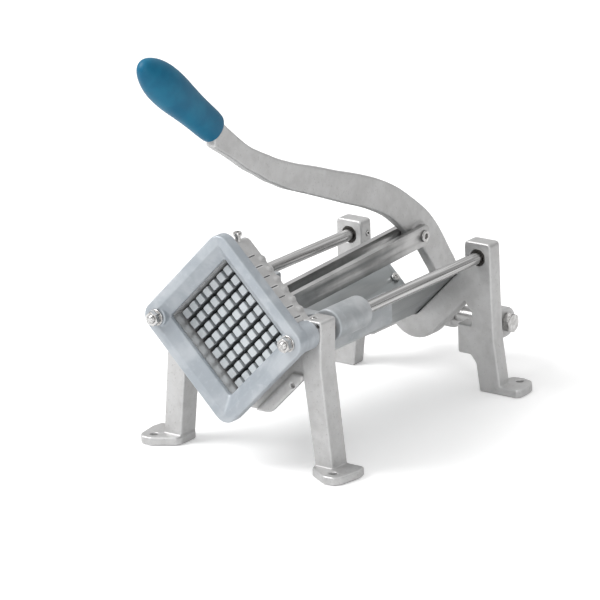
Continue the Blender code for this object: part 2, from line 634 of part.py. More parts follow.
def make_trough():
    top = AXIS_Z - OPENING_HALF * ROOT2 + TROUGH_TOP_X
    profile = vee(OPENING_HALF, OPENING_HALF + TROUGH_T, TROUGH_TOP_X + TROUGH_T / ROOT2, TROUGH_APEX_R,
                  TROUGH_APEX_R - TROUGH_T, top_z=top)
    body = plate("trough", profile, TROUGH_FRONT, TROUGH_BACK, "Y", GAP)
    for name, side in SIDES:
        place, turn = trough_screw_frame(side)
        hole = rod("trough_hole_" + name, "Z", (0, 0), TROUGH_SCREW_R + GAP, -TROUGH_T - OVER, OVER)
        shank = rod("trough_shank_" + name, "Z", (0, 0), TROUGH_SCREW_R, -TROUGH_SCREW_LONG, GAP + SINK)
        head = rod("trough_screw_head_" + name, "Z", (0, 0), TROUGH_SCREW_HEAD_R, GAP, GAP + TROUGH_SCREW_HEAD_T,
                   SMALL_STEPS, CAST_EDGE)
        recess = plate("trough_recess_" + name, hexagon((0, 0), TROUGH_SCREW_R * ROOT2),
                       GAP + TROUGH_SCREW_HEAD_T / 2, GAP + TROUGH_SCREW_HEAD_T + OVER, "Z")
        for piece in (hole, shank, head, recess):
            piece.matrix_world = Matrix.Translation(place) @ turn
        cut(body, hole)
        finish(cut(join(shank, head), recess), "trough_screw_" + name, STEEL)
    return finish(body, "trough", COATED)


def make_rods_and_nuts():
    for name, side in SIDES:
        centre = (side * ROD_X, AXIS_Z)
        front = -(WASHER_T + NUT_T + STUD_PROUD)
        guide = rod("guide_rod_" + name, "Y", centre, ROD_R, ROD_FRONT, ROD_BACK, ROUND_STEPS, CAST_EDGE)
        stud = rod("stud_" + name, "Y", centre, STUD_R, front, ROD_FRONT + SINK, SMALL_STEPS, GAP)
        finish(join(guide, stud), "guide_rod_" + name, STEEL)
        washer = rod("washer_" + name, "Y", centre, WASHER_R, -WASHER_T, -SEAT_GAP, ROUND_STEPS, GAP)
        nut = plate("nut_" + name, hexagon(centre, NUT_FLATS), -WASHER_T - NUT_T, -WASHER_T - SEAT_GAP, "Y", GAP)
        for piece, label in ((washer, "front_washer_"), (nut, "front_nut_")):
            bore = rod(label + "bore_" + name, "Y", centre, STUD_R + GAP, front - OVER, OVER)
            finish(cut(piece, bore), label + name, STEEL)


def make_pusher():
    body = plate("pusher", diamond(PUSH_PLATE_HALF, PUSH_PLATE_CORNER), PUSH_PLATE_FRONT, PUSH_PLATE_BACK, "Y", GAP)
    long = PUSH_PLATE_FRONT + SINK - PEG_TIP_Y
    places = [in_grid(a, b, PEG_TIP_Y + long / 2) for a in CENTRES for b in CENTRES]
    join(body, boxes("pegs", places, (PEG_SIDE, long, PEG_SIDE), DIAMOND))
    deep = PUSH_RIB_BACK - PUSH_PLATE_BACK + SINK
    middle = PUSH_PLATE_BACK - SINK + deep / 2
    ribs = boxes("push_rib_down", [in_grid(0, 0, middle)], (PUSH_RIB_T, deep, 2 * PUSH_RIB_HALF), DIAMOND)
    cross = boxes("push_rib_up", [in_grid(0, 0, middle)], (2 * PUSH_RIB_HALF, deep, PUSH_RIB_T), DIAMOND)
    lug = [(PUSH_PLATE_BACK - SINK, AXIS_Z - PUSH_LUG_R), (PUSH_LUG_Y, AXIS_Z - PUSH_LUG_R)]
    lug += [polar((PUSH_LUG_Y, AXIS_Z), PUSH_LUG_R, pi * (k / SMALL_STEPS * 2 - 0.5))
            for k in range(1, SMALL_STEPS // 2)]
    lug += [(PUSH_LUG_Y, AXIS_Z + PUSH_LUG_R), (PUSH_PLATE_BACK - SINK, AXIS_Z + PUSH_LUG_R)]
    join(body, ribs, cross, plate("push_lug", lug, -LUG_HALF_X, LUG_HALF_X, "X", GAP))
    bushes = []
    for name, side in SIDES:
        arm = [(side * YOKE_IN, PUSH_PLATE_BACK - SINK), (side * YOKE_STEP, PUSH_PLATE_BACK - SINK),
               (side * WING_IN, SLIDE_FRONT + SINK), (side * ROD_X, SLIDE_FRONT + SINK),
               (side * ROD_X, YOKE_BACK), (side * YOKE_IN, YOKE_BACK)]
        wing = rounded([(SLIDE_FRONT, WING_LOW), (WING_BACK, WING_LOW), (WING_BACK, WING_HIGH),
                        (SLIDE_FRONT, WING_HIGH)], [WING_CORNER, WING_CORNER / 2, WING_CORNER / 2, 0])
        low, high = sorted((side * WING_IN, side * WING_OUT))
        centre = (side * ROD_X, AXIS_Z)
        join(body, plate("yoke_" + name, arm, YOKE_LOW, YOKE_HIGH, "Z", GAP),
             rod("slide_" + name, "Y", centre, SLIDE_R, SLIDE_FRONT, SLIDE_BACK, ROUND_STEPS, CAST_EDGE),
             plate("wing_" + name, wing, low, high, "X", CAST_EDGE))
        cut(body, rod("slide_bore_" + name, "Y", centre, BUSH_R + GAP, SLIDE_FRONT - OVER, SLIDE_BACK + OVER,
                      ROUND_STEPS))
        bush = rod("bush_" + name, "Y", centre, BUSH_R, SLIDE_FRONT - BUSH_PROUD, SLIDE_BACK + BUSH_PROUD,
                   ROUND_STEPS, GAP)
        hole = rod("bush_bore_" + name, "Y", centre, ROD_R + GAP, SLIDE_FRONT - OVER, SLIDE_BACK + OVER,
                   ROUND_STEPS)
        bushes.append(finish(cut(bush, hole), "slide_bushing_" + name, BRONZE))
    finish(body, "pusher", COATED)
    ride(empty("pusher_slide", (0, PUSH_LUG_Y, AXIS_Z)), body, *bushes)


def along_grip(distance, off=0.0):
    along, up = Vector(GRIP_AXIS), Vector((GRIP_AXIS[1], -GRIP_AXIS[0]))
    return Vector(GRIP_MOUTH) + along * distance + up * off


def make_lever():
    tang = [along_grip(TANG_ROOT, -TANG_HALF), along_grip(TANG_LONG, -TANG_HALF),
            along_grip(TANG_LONG, TANG_HALF), along_grip(TANG_ROOT, TANG_HALF)]
    hub = [polar((PIVOT_Y, PIVOT_Z), HUB_R, pi * (0.20 - 1.05 * k / SMALL_STEPS)) for k in range(SMALL_STEPS)]
    outline = [tuple(p) for p in tang] + smooth(LEVER_BACK_EDGE) + hub + smooth(LEVER_FRONT_EDGE)
    half = LEVER_T / 2
    body = plate("lever", outline, -half, half, "X", CAST_EDGE)
    wide = LEVER_BOSS_T / 2
    join(body, rod("link_boss", "X", (LINK_PIN_Y, LINK_PIN_Z), LINK_BOSS_R, -wide, wide, ROUND_STEPS, GAP),
         rod("hub_boss", "X", (PIVOT_Y, PIVOT_Z), HUB_BOSS_R, -wide, wide, ROUND_STEPS, GAP))
    cut(body, rod("lever_bore", "X", (PIVOT_Y, PIVOT_Z), PIVOT_R + GAP, -wide - OVER, wide + OVER, ROUND_STEPS),
        rod("link_bore", "X", (LINK_PIN_Y, LINK_PIN_Z), LINK_PIN_R + GAP, -wide - OVER, wide + OVER))
    finish(body, "lever", CAST)

    up = Vector((GRIP_AXIS[1], -GRIP_AXIS[0]))
    rings = []
    for distance, high in GRIP_STATIONS:
        middle = along_grip(distance)
        ring = []
        for k in range(ROUND_STEPS):
            a = 2 * pi * k / ROUND_STEPS
            off = up * high * sin(a)
            ring.append((GRIP_WIDTH_SHARE * high * cos(a), middle.x + off.x, middle.y + off.y))
        rings.append(ring)
    grip = loft("grip", rings)
    room = TANG_HALF + GAP
    pocket = [tuple(along_grip(d, s * room)) for d, s in
              ((-OVER, -1), (TANG_LONG + GAP, -1), (TANG_LONG + GAP, 1), (-OVER, 1))]
    cut(grip, plate("tang_pocket", pocket, -half - GAP, half + GAP, "X"))
    finish(grip, "grip", VINYL)

    outer = LINK_IN + LINK_T + GAP
    pin = rod("link_pin", "X", (LINK_PIN_Y, LINK_PIN_Z), LINK_PIN_R, -outer - SINK, outer + SINK)
    for name, side in SIDES:
        head = rod("link_pin_head_" + name, "X", (LINK_PIN_Y, LINK_PIN_Z), LINK_HEAD_R,
                   *sorted((side * outer, side * (outer + LINK_HEAD_T))), SMALL_STEPS, 2 * GAP)
        join(pin, head)
    for name, side in SIDES:
        ends = sorted((side * (outer + LINK_HEAD_T - LINK_SOCKET_DEEP), side * (outer + LINK_HEAD_T + OVER)))
        cut(pin, plate("link_pin_socket_" + name, hexagon((LINK_PIN_Y, LINK_PIN_Z), 2 * SOCKET_R), *ends, "X"))
    finish(pin, "link_pin", STEEL)
    ride(empty("lever_joint", (0, PIVOT_Y, PIVOT_Z)), body, grip, pin)


def make_links():
    """Two flat bars from the lever to the pusher. Their front screws stop short of the pusher's lug."""
    rear, front = Vector((LINK_PIN_Y, LINK_PIN_Z)), Vector((PUSH_LUG_Y, AXIS_Z))
    run = (front - rear).normalized()
    rise = Vector((-run.y, run.x)) * LINK_HALF_HIGH
    last, first = rear - run * LINK_REAR_REACH, front + run * LINK_HALF_HIGH
    outline = rounded([last - rise, first - rise, first + rise, last + rise],
                      [LINK_REAR_CORNER, LINK_FRONT_CORNER, LINK_FRONT_CORNER, LINK_REAR_CORNER])
    joint = empty("link_joint", (0, LINK_PIN_Y, LINK_PIN_Z))
    for name, side in SIDES:
        inner, outer = side * LINK_IN, side * (LINK_IN + LINK_T)
        low, high = sorted((inner, outer))
        bar = plate("link_" + name, outline, low, high, "X", GAP)
        cut(bar, rod("link_rear_hole_" + name, "X", (LINK_PIN_Y, LINK_PIN_Z), LINK_PIN_R + GAP, low - OVER,
                     high + OVER),
            rod("link_front_hole_" + name, "X", (PUSH_LUG_Y, AXIS_Z), LINK_PIN_R + GAP, low - OVER, high + OVER))
        finish(bar, "link_" + name, STEEL)
        top = side * (LINK_IN + LINK_T + GAP)
        shank = rod("link_screw", "X", (PUSH_LUG_Y, AXIS_Z), LINK_PIN_R, *sorted((inner, top + side * SINK)))
        head = rod("link_screw_head_" + name, "X", (PUSH_LUG_Y, AXIS_Z), LINK_HEAD_R,
                   *sorted((top, top + side * LINK_HEAD_T)), SMALL_STEPS, 2 * GAP)
        ends = sorted((top + side * (LINK_HEAD_T - LINK_SOCKET_DEEP), top + side * (LINK_HEAD_T + OVER)))
        socket = plate("link_screw_socket_" + name, hexagon((PUSH_LUG_Y, AXIS_Z), 2 * SOCKET_R), *ends, "X")
        screw = finish(cut(join(shank, head), socket), "link_screw_" + name, STEEL)
        ride(joint, bar, screw)


def make_pivot():
    centre = (PIVOT_Y, PIVOT_Z)
    end = LUG_OUT + GAP + BOLT_NUT_T + BOLT_PROUD
    shaft = rod("pivot_bolt", "X", centre, PIVOT_R, -end, LUG_OUT + GAP + SINK, ROUND_STEPS, CAST_EDGE)
    head = bolt_head("pivot_head", 1, BOLT_FLATS, LUG_OUT + GAP, BOLT_HEAD_T, centre)
    finish(join(shaft, head), "pivot_bolt", STEEL)
    nut = bolt_head("pivot_nut", -1, BOLT_FLATS, LUG_OUT + GAP, BOLT_NUT_T, centre)
    bore = rod("pivot_nut_bore", "X", centre, PIVOT_R + GAP, -end - OVER, -LUG_OUT + OVER, ROUND_STEPS)
    finish(cut(nut, bore), "pivot_nut", STEEL)
    for name, side in SIDES:
        low, high = sorted((side * (LEVER_BOSS_T / 2 + GAP), side * (LUG_IN - GAP)))
        tube = rod("spacer_" + name, "X", centre, SPACER_R, low, high, ROUND_STEPS, GAP)
        bore = rod("spacer_bore_" + name, "X", centre, PIVOT_R + GAP, low - OVER, high + OVER, ROUND_STEPS)
        finish(cut(tube, bore), "spacer_tube_" + name, STEEL)


def set_on_origin():
    """Puts the middle of the bounding box over the origin. What hangs on an empty follows it."""
    for obj in list(PARTS.objects) + list(TOOLS.objects):
        if obj.parent is None:
            obj.location.y -= MIDDLE_Y


make_front_plate()
make_cassette()
make_blades()
make_front_frame()
make_rear_frame()
make_trough()
make_rods_and_nuts()
make_pusher()
make_lever()
make_links()
make_pivot()
set_on_origin()
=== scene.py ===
from math import atan2, cos, pi, radians, sin, sqrt

import bmesh
import bpy
from mathutils import Matrix, Vector


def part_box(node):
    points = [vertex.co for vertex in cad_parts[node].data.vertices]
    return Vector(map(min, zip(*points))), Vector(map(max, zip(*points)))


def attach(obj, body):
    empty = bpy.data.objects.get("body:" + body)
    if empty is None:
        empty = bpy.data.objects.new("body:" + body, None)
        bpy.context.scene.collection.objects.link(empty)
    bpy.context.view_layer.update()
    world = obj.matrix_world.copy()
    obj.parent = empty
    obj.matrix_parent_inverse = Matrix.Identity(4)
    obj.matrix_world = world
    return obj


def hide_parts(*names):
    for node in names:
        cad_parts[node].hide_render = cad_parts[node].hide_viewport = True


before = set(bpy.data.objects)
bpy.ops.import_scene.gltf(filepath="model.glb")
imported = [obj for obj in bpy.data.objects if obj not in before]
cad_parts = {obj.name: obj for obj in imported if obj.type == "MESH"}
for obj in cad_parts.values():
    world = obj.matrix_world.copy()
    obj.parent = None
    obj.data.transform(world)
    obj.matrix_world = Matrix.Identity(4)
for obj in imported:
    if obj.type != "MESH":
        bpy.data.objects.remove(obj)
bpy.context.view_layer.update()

# Sizes that the solids use too, in metres. Along Y they are measured from the front plate's face.
FACE_Y = -0.1520
CELL = 0.0127
CELLS = 8
AXIS_Z = 0.146
ROD_X = 0.082
ROD_R = 0.00635
STUD_R = 0.004
OPENING_HALF = CELL * CELLS / 2
CASSETTE_HALF = 0.062
CASSETTE_CORNER = 0.008
CASSETTE_FRONT, CASSETTE_BACK = 0.0143, 0.0462
CASSETTE_FLAT_X = 0.0748
FRONT_BLADE_Y, REAR_BLADE_Y = 0.0272, 0.0368
BLADE_T, BLADE_DEEP, BLADE_EDGE = 0.0006, 0.0092, 0.0022
BLADE_END_GAP = 0.0004
RIB_R, RIB_FRONT = 0.0042, 0.0385
PEG_SIDE, PEG_TIP_Y, PEG_ROOT_Y = 0.0088, 0.0250, 0.0506
GRIP_MOUTH, GRIP_AXIS = (0.0009, 0.3525), (-0.7693, 0.6389)
GRIP_STATIONS = [(0.0000, 0.0142), (0.0025, 0.0158), (0.0120, 0.0166), (0.0280, 0.0169),
                 (0.0450, 0.0175), (0.0630, 0.0190), (0.0800, 0.0204), (0.0950, 0.0206),
                 (0.1080, 0.0196), (0.1200, 0.0170), (0.1300, 0.0131), (0.1370, 0.0088)]
GRIP_WIDTH_SHARE = 0.80
LINK_HEAD_T = 0.0020
SOCKET_FLATS, SOCKET_DEEP = 0.0056, 0.0015  # in the heads beside the links
ROD_SHOULDER_Y = 0.0485  # where a guide rod is turned down to its stud
STUD_THREAD_LONG = 0.0145
NUT_FLATS, BOLT_FLATS = 0.0135, 0.019
BOLT_R = 0.00635
LUG_FACE_X = 0.0703
TUBE_R, TUBE_BORE_R = 0.0086, 0.00665
SET_SCREW_R, SET_SCREW_LONG = 0.0028, 0.0085
TROUGH_SCREW_X, TROUGH_SCREW_Y = 0.0300, 0.3370
ROOT2 = sqrt(2)
SIDES = (("near", 1), ("far", -1))


class Value:
    """A socket that can stand in sums: each operator adds its Math node."""

    def __init__(self, finish, socket):
        self.finish, self.socket = finish, socket

    def sum_with(self, operation, first, second):
        return self.finish.node("ShaderNodeMath", {"operation": operation}, {0: first, 1: second})

    def __add__(self, other): return self.sum_with("ADD", self, other)
    def __radd__(self, other): return self.sum_with("ADD", other, self)
    def __sub__(self, other): return self.sum_with("SUBTRACT", self, other)
    def __rsub__(self, other): return self.sum_with("SUBTRACT", other, self)
    def __mul__(self, other): return self.sum_with("MULTIPLY", self, other)
    def __rmul__(self, other): return self.sum_with("MULTIPLY", other, self)


class Finish:
    """A material, or the world, made from one node at a time."""

    def __init__(self, name, tree=None):
        self.material = None
        if tree is None:
            self.material = bpy.data.materials.new(name)
            self.material.use_nodes = True
            tree = self.material.node_tree
        tree.nodes.clear()
        self.tree = tree

    def node(self, kind, settings=None, sockets=None, output=0):
        made = self.tree.nodes.new(kind)
        for key, value in (settings or {}).items():
            if key == "stops":
                ramp = made.color_ramp
                while len(ramp.elements) < len(value):
                    ramp.elements.new(1.0)
                for stop, (at, colour) in zip(ramp.elements, value):
                    stop.position, stop.color = at, (*colour, 1.0)
            else:
                setattr(made, key, value)
        for key, value in (sockets or {}).items():
            if isinstance(value, Value):
                self.tree.links.new(value.socket, made.inputs[key])
            else:
                made.inputs[key].default_value = value
        return Value(self, made.outputs[output]) if len(made.outputs) else None

    def place(self, stretch=None):
        spot = self.node("ShaderNodeTexCoord", output="Object")
        return self.node("ShaderNodeMapping", None, {"Vector": spot, "Scale": stretch}) if stretch else spot

    def noise(self, spot, scale, detail=3.0, roughness=0.55, twist=0.0):
        return self.node("ShaderNodeTexNoise", None, {"Vector": spot, "Scale": scale, "Detail": detail,
                                                      "Roughness": roughness, "Distortion": twist})

    def step(self, value, low, high):
        return self.node("ShaderNodeMapRange", {"interpolation_type": "SMOOTHSTEP"},
                         {"Value": value, "From Min": low, "From Max": high})

    def blend(self, factor, first, second):
        made = self.tree.nodes.new("ShaderNodeMix")
        made.data_type = "RGBA"
        for socket, value in ((made.inputs[0], factor), (made.inputs[6], first), (made.inputs[7], second)):
            if isinstance(value, Value):
                self.tree.links.new(value.socket, socket)
            else:
                socket.default_value = value
        return Value(self, made.outputs[2])

    def bump(self, height, depth, strength=1.0):
        return self.node("ShaderNodeBump", None, {"Height": height, "Distance": depth, "Strength": strength})

    def edges(self, low=0.505, high=0.56):
        """1 on worn outer edges, from how sharply the surface turns there."""
        return self.step(self.node("ShaderNodeNewGeometry", output="Pointiness"), low, high)

    # Painted shade: 1 in hollows, creases and sockets, where the blends below darken the colour as if
    # shaded.
    def painted_hollow_shade(self, low=0.44, high=0.495):
        return 1 - self.step(self.node("ShaderNodeNewGeometry", output="Pointiness"), low, high)

    def surface(self, **sockets):
        values = {label.replace("_", " "): value for label, value in sockets.items()}
        shader = self.node("ShaderNodeBsdfPrincipled", None, values)
        self.node("ShaderNodeOutputMaterial", None, {"Surface": shader})
        return self.material


def grey(level, warm=0.0):
    """A grey, or one a little towards red where warm is over 0."""
    return (level * (1 + warm), level, level * (1 - warm), 1.0)


def cast_aluminium():
    """Tumbled grey casting: cloudy tone, fine pits, painted shade in its hollows, paler rubbed edges."""
    f = Finish("cast_aluminium")
    spot = f.place()
    cloud = f.noise(spot, 16.0, 4.0, 0.6, 0.4)
    patch = f.noise(spot, 110.0, 4.0, 0.6)
    grain = f.noise(spot, 900.0, 2.0)
    pits = f.step(f.noise(spot, 420.0, 1.0), 0.66, 0.74)
    tone = f.blend(f.step(cloud * 0.6 + patch * 0.4, 0.36, 0.64), grey(0.50, 0.008), grey(0.62, 0.003))
    tone = f.blend(grain * 0.22, tone, grey(0.42))
    tone = f.blend(pits * 0.30, tone, grey(0.26, 0.03))
    # Painted shade: hollows and creases darkened towards a dark grey.
    tone = f.blend(f.painted_hollow_shade() * 0.45, tone, grey(0.22, 0.03))
    tone = f.blend(f.edges() * 0.5, tone, grey(0.78))
    height = patch * 0.35 + grain * 0.25 - pits * 0.4
    return f.surface(Base_Color=tone, Metallic=0.72, Roughness=0.40 + patch * 0.16 - f.edges() * 0.10,
                     Normal=f.bump(height, 0.00022, 0.55))


def coated_casting(name, low, high):
    """Pale coating over a casting, with soft blotches, painted shade in its hollows and orange-peel skin."""
    f = Finish(name)
    spot = f.place()
    cloud = f.noise(spot, 26.0, 3.0, 0.55, 0.6)
    patch = f.noise(spot, 150.0, 3.0)
    skin = f.noise(spot, 620.0, 2.0)
    tone = f.blend(f.step(cloud, 0.38, 0.64), low, high)
    tone = f.blend(f.step(patch, 0.52, 0.72) * 0.30, tone, (0.54, 0.57, 0.60, 1.0))
    # Painted shade: hollows and creases darkened towards a dark blue-grey.
    tone = f.blend(f.painted_hollow_shade() * 0.5, tone, (0.20, 0.24, 0.27, 1.0))
    tone = f.blend(f.edges() * 0.45, tone, (0.66, 0.71, 0.74, 1.0))
    return f.surface(Base_Color=tone, Metallic=0.25, Roughness=0.34 + patch * 0.14, Coat_Weight=0.15,
                     Coat_Roughness=0.3, Normal=f.bump(skin * 0.5 + patch * 0.5, 0.00018, 0.5))


def rolled_sheet():
    """Satin sheet of the trough, with rolling lines along it and rub marks from potatoes."""
    f = Finish("rolled_sheet")
    lines = f.noise(f.place((900.0, 6.0, 900.0)), 1.0, 3.0)
    cloud = f.noise(f.place((10.0, 5.0, 10.0)), 1.0, 3.0, 0.6, 0.5)
    rubs = f.step(f.noise(f.place((60.0, 9.0, 60.0)), 1.0, 4.0), 0.52, 0.70)
    tone = f.blend(f.step(cloud, 0.35, 0.65), (0.30, 0.32, 0.325, 1.0), (0.43, 0.455, 0.465, 1.0))
    tone = f.blend(lines * 0.25, tone, grey(0.24))
    tone = f.blend(rubs * 0.30, tone, grey(0.52))
    return f.surface(Base_Color=tone, Metallic=0.85, Roughness=0.26 + lines * 0.12 + rubs * 0.06,
                     Normal=f.bump(lines, 0.00005, 0.5))


def ground_rod():
    """Ground and polished rod, with faint rings from grinding and streaks from the bushings."""
    f = Finish("ground_rod")
    rings = f.noise(f.place((30.0, 2600.0, 30.0)), 1.0, 2.0)
    streaks = f.noise(f.place((500.0, 7.0, 500.0)), 1.0, 3.0)
    tone = f.blend(f.step(streaks, 0.42, 0.62), grey(0.42, 0.01), grey(0.66, 0.005))
    return f.surface(Base_Color=tone, Metallic=1.0, Roughness=0.13 + rings * 0.08 + streaks * 0.05,
                     Normal=f.bump(rings, 0.00003, 0.3))


def brushed_bar():
    """Flat steel bar with brushing along it and rubbed edges."""
    f = Finish("brushed_bar")
    lines = f.noise(f.place((1500.0, 10.0, 1500.0)), 1.0, 3.0)
    cloud = f.noise(f.place(), 30.0, 3.0)
    tone = f.blend(f.step(cloud, 0.35, 0.66), grey(0.40, 0.01), grey(0.56, 0.01))
    tone = f.blend(lines * 0.35, tone, grey(0.30))
    tone = f.blend(f.edges(0.51, 0.60) * 0.5, tone, grey(0.75))
    return f.surface(Base_Color=tone, Metallic=0.95, Roughness=0.26 + lines * 0.14,
                     Normal=f.bump(lines, 0.00005, 0.5))


def plated_screw():
    """Bright plated fastener, with painted shade darkening its hollows."""
    f = Finish("plated_screw")
    spot = f.place()
    cloud = f.noise(spot, 240.0, 3.0)
    scratch = f.noise(f.place((400.0, 3000.0, 3000.0)), 1.0, 2.0)
    tone = f.blend(f.step(cloud, 0.35, 0.65), grey(0.46, 0.02), grey(0.66, 0.01))
    # Painted shade: the socket and other hollows darkened nearly to black.
    tone = f.blend(f.painted_hollow_shade(0.40, 0.49) * 0.7, tone, grey(0.08, 0.05))
    return f.surface(Base_Color=tone, Metallic=1.0, Roughness=0.18 + cloud * 0.12,
                     Normal=f.bump(scratch, 0.00003, 0.3))


def blade_steel():
    """Blued spring steel with a bright ground edge at the front of each layer."""
    f = Finish("blade_steel")
    spot = f.place()
    depth = f.node("ShaderNodeSeparateXYZ", None, {0: spot}, output="Y") - FACE_Y
    lines = f.noise(f.place((700.0, 60.0, 700.0)), 1.0, 3.0)
    front = 1 - f.step(depth, FRONT_BLADE_Y + 0.0004, FRONT_BLADE_Y + 0.0016)
    behind = 1 - f.step(depth, REAR_BLADE_Y + 0.0004, REAR_BLADE_Y + 0.0016)
    rear = f.step(depth, REAR_BLADE_Y - 0.0004, REAR_BLADE_Y) * behind
    ground = front + rear
    tone = f.blend(lines, (0.07, 0.078, 0.082, 1.0), (0.16, 0.17, 0.175, 1.0))
    tone = f.blend(ground * 0.85, tone, grey(0.60))
    return f.surface(Base_Color=tone, Metallic=0.9, Roughness=0.30 + lines * 0.12)


def blue_vinyl():
    """Dipped vinyl: deep blue, satin, with a fine leathery skin and slightly paler high spots."""
    f = Finish("blue_vinyl")
    spot = f.place()
    cloud = f.noise(spot, 34.0, 3.0)
    skin = f.node("ShaderNodeTexVoronoi", {"feature": "F1"}, {"Vector": spot, "Scale": 900.0})
    fine = f.noise(spot, 1500.0, 2.0)
    tone = f.blend(f.step(cloud, 0.35, 0.68), (0.001, 0.108, 0.205, 1.0), (0.004, 0.140, 0.245, 1.0))
    tone = f.blend(f.edges(0.505, 0.53) * 0.15, tone, (0.02, 0.22, 0.34, 1.0))
    return f.surface(Base_Color=tone, Roughness=0.40 + fine * 0.10, Specular_IOR_Level=0.28,
                     Normal=f.bump(skin * 0.6 + fine * 0.4, 0.00010, 0.35))


def oiled_bronze():
    """Sintered bronze, dark and oiled, with open pores."""
    f = Finish("oiled_bronze")
    spot = f.place()
    pores = f.noise(spot, 1800.0, 2.0)
    tone = f.blend(f.noise(spot, 120.0), (0.11, 0.075, 0.040, 1.0), (0.21, 0.145, 0.080, 1.0))
    tone = f.blend(f.step(pores, 0.60, 0.70) * 0.5, tone, grey(0.03, 0.1))
    return f.surface(Base_Color=tone, Metallic=0.8, Roughness=0.34 + pores * 0.15)


def painted_bore_shade():
    """Painted shade: a mottled near-black for a ring put where the clearance of a bore lies in shadow."""
    f = Finish("painted_bore_shade")
    spot = f.place()
    shade_mottle = f.noise(spot, 300.0, 3.0)
    return f.surface(Base_Color=f.blend(shade_mottle, grey(0.020, 0.1), grey(0.060, 0.1)), Metallic=0.5,
                     Roughness=0.35 + shade_mottle * 0.2)


CAST = cast_aluminium()
COATED = coated_casting("coated_plate", (0.345, 0.378, 0.412, 1.0), (0.45, 0.48, 0.51, 1.0))
PUSHER = coated_casting("coated_pusher", (0.35, 0.37, 0.385, 1.0), (0.45, 0.465, 0.478, 1.0))
SHEET = rolled_sheet()
ROD = ground_rod()
BAR = brushed_bar()
PLATED = plated_screw()
BLADE = blade_steel()
VINYL = blue_vinyl()
BRONZE = oiled_bronze()
BORE_SHADE = painted_bore_shade()


def add(name, mesh):
    obj = bpy.data.objects.new(name, mesh)
    bpy.context.scene.collection.objects.link(obj)
    return obj


def settle(obj):
    """The object with its modifiers and place worked into one plain mesh."""
    bpy.context.view_layer.update()
    graph = bpy.context.evaluated_depsgraph_get()
    mesh = bpy.data.meshes.new_from_object(obj.evaluated_get(graph), depsgraph=graph)
    mesh.transform(obj.matrix_world)
    obj.modifiers.clear()
    obj.matrix_world = Matrix.Identity(4)
    obj.data = mesh
    return obj


def dress(obj, material, body, *nodes, sharp=35):
    """Puts a finished piece in the shared frame, gives it material, shading and body, and hides the nodes it
    stands for.
    """
    obj.data.transform(Matrix.Translation((0, FACE_Y, 0)))
    obj.data.materials.clear()
    obj.data.materials.append(material)
    for face in obj.data.polygons:
        face.use_smooth = True
    if sharp:
        obj.data.set_sharp_from_angle(angle=radians(sharp))
    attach(obj, body)
    if nodes:
        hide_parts(*nodes)
    return obj


def copy_of(node):
    """A merged copy of a node's loose triangles."""
    form = bmesh.new()
    form.from_mesh(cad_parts[node].data)
    form.transform(Matrix.Translation((0, -FACE_Y, 0)))
    bmesh.ops.remove_doubles(form, verts=form.verts, dist=0.000002)
    bmesh.ops.dissolve_degenerate(form, edges=form.edges, dist=0.000002)
    return form


def span(node):
    """The two corners of a node's box."""
    return [corner - Vector((0, FACE_Y, 0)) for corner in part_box(node)]


def from_form(name, form):
    mesh = bpy.data.meshes.new(name)
    form.to_mesh(mesh)
    form.free()
    return add(name, mesh)


def soften(obj, voxel, passes):
    """Turns sharp built-up shapes into one casting with small fillets."""
    remesh = obj.modifiers.new("cast", "REMESH")
    remesh.mode, remesh.voxel_size, remesh.adaptivity = "VOXEL", voxel, 0.0
    ease = obj.modifiers.new("ease", "SMOOTH")
    ease.factor, ease.iterations = 0.5, passes
    return settle(obj)


def ease_edges(obj, width, angle):
    """Rounds the edges that turn by more than the angle."""
    bevel = obj.modifiers.new("edge", "BEVEL")
    bevel.width, bevel.segments = width, 2
    bevel.limit_method, bevel.angle_limit = "ANGLE", radians(angle)
    bevel.use_clamp_overlap = True
    return settle(obj)


def cut(obj, cutter):
    """Cuts the cutter out of the piece and removes the cutter."""
    step = obj.modifiers.new("cut", "BOOLEAN")
    step.operation, step.solver, step.object = "DIFFERENCE", "EXACT", cutter
    settle(obj)
    bpy.data.objects.remove(cutter)
    return obj


def solid(name, rings, closed_loop=False):
    """A surface through rings of equal length. A ring of one point closes an end, and so does a flat cap."""
    form = bmesh.new()
    rows = [[form.verts.new(p) for p in ring] for ring in rings]
    pairs = list(zip(rows, rows[1:])) + ([(rows[-1], rows[0])] if closed_loop else [])
    for low, high in pairs:
        count = max(len(low), len(high))
        for i in range(count):
            j = (i + 1) % count
            corners = [low[i % len(low)], low[j % len(low)], high[j % len(high)], high[i % len(high)]]
            form.faces.new(list(dict.fromkeys(corners)))
    if not closed_loop:
        for row in (rows[0], rows[-1]):
            if len(row) > 2:
                form.faces.new(row)
    bmesh.ops.recalc_face_normals(form, faces=form.faces)
    return from_form(name, form)


def ring(radius, high, steps=64):
    """A ring of points round Z. radius and high are lengths, or functions of the angle."""
    points = []
    for k in range(steps):
        a = 2 * pi * k / steps
        r = radius(a) if callable(radius) else radius
        h = high(a) if callable(high) else high
        points.append((r * cos(a), r * sin(a), h))
    return points


def six_sided(flats):
    """The radius of a hexagon at an angle."""
    return lambda a: flats / 2 / cos((a + pi / 6) % (pi / 3) - pi / 6)


def turned(name, profile, steps=64, closed_loop=False):
    """A lathe piece from (radius, height) pairs. A radius of 0 is a single point."""
    rings = [[(0, 0, h)] if r == 0 else ring(r, h, steps) for r, h in profile]
    return solid(name, rings, closed_loop)


def thread(radius, low, high, pitch=0.00125, depth=0.0006):
    """Profile points of a screw thread between two heights."""
    turns = int((high - low) / pitch)
    points = []
    for k in range(turns):
        points += [(radius, low + pitch * (k + 0.15)), (radius - depth, low + pitch * (k + 0.5)),
                   (radius, low + pitch * (k + 0.85))]
    return points


